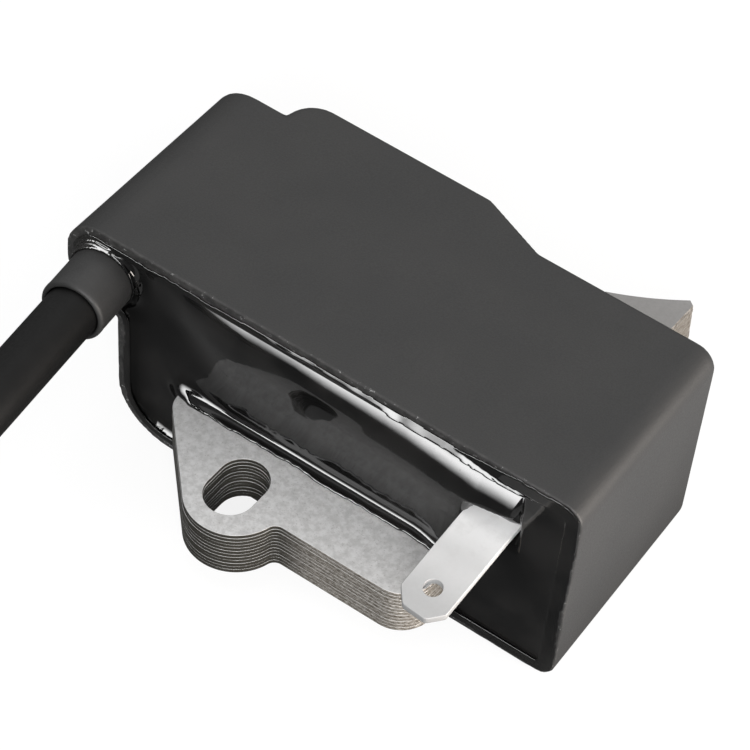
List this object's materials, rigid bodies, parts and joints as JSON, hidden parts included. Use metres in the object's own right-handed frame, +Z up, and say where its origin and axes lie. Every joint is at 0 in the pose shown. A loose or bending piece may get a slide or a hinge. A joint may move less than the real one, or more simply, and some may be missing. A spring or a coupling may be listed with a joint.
{
  "type": "ignition coil",
  "caption": "Potted flywheel ignition coil: black open-faced case filled with resin on a laminated steel core, with high-tension lead, grommet and flat stop tab.",
  "frame": {"origin": "mounting datum on the underside of the core ear, beside its slot, where the core rests on the engine's pad", "axes": "+X along the case from the high-tension lead end to the stop tab end, +Y towards the flywheel, +Z up, normal to the core laminations"},
  "size_m": [0.0668, 0.0945, 0.0288],
  "materials": {
    "case_plastic": "fine moulded satin black",
    "potting_resin": "glossy poured epoxy",
    "core_steel": "punched silicon steel, fine scratches",
    "rivet_steel": "satin",
    "tin_plate": "bright tinned",
    "grommet_rubber": "moulded rubber",
    "lead_jacket": "smooth extruded jacket",
    "copper_wire": "stranded copper",
    "enamel_wire": "enamelled winding wire",
    "bobbin_nylon": "moulded natural nylon",
    "ferrite": "sintered",
    "board_laminate": "glass laminate",
    "package_black": "moulded package",
    "film_capacitor": "dipped film",
    "resistor_body": "coated ceramic"
  },
  "bodies": {
    "root": {"case_shell": "case_plastic", "potting_resin": "potting_resin", "core_lamination_01": "core_steel", "core_lamination_02": "core_steel", "core_lamination_03": "core_steel", "core_lamination_04": "core_steel", "core_lamination_05": "core_steel", "core_lamination_06": "core_steel", "core_lamination_07": "core_steel", "core_lamination_08": "core_steel", "core_lamination_09": "core_steel", "core_lamination_10": "core_steel", "core_lamination_11": "core_steel", "core_lamination_12": "core_steel", "core_rivet_1": "rivet_steel", "core_rivet_2": "rivet_steel", "charge_bobbin": "bobbin_nylon", "charge_winding": "enamel_wire", "trigger_bobbin": "bobbin_nylon", "trigger_winding": "enamel_wire", "transformer_core": "ferrite", "primary_bobbin": "bobbin_nylon", "primary_winding": "copper_wire", "secondary_bobbin": "bobbin_nylon", "secondary_winding_1": "enamel_wire", "secondary_winding_2": "enamel_wire", "secondary_winding_3": "enamel_wire", "secondary_winding_4": "enamel_wire", "secondary_winding_5": "enamel_wire", "storage_capacitor": "film_capacitor", "circuit_board": "board_laminate", "thyristor": "package_black", "rectifier_diode_1": "package_black", "rectifier_diode_2": "package_black", "gate_resistor": "resistor_body", "bleed_resistor": "resistor_body", "ground_strap": "tin_plate", "stop_terminal": "tin_plate", "lead_insulation": "lead_jacket", "lead_conductor": "copper_wire", "lead_grommet": "grommet_rubber", "ht_terminal": "tin_plate"}
  },
  "joints": []
}
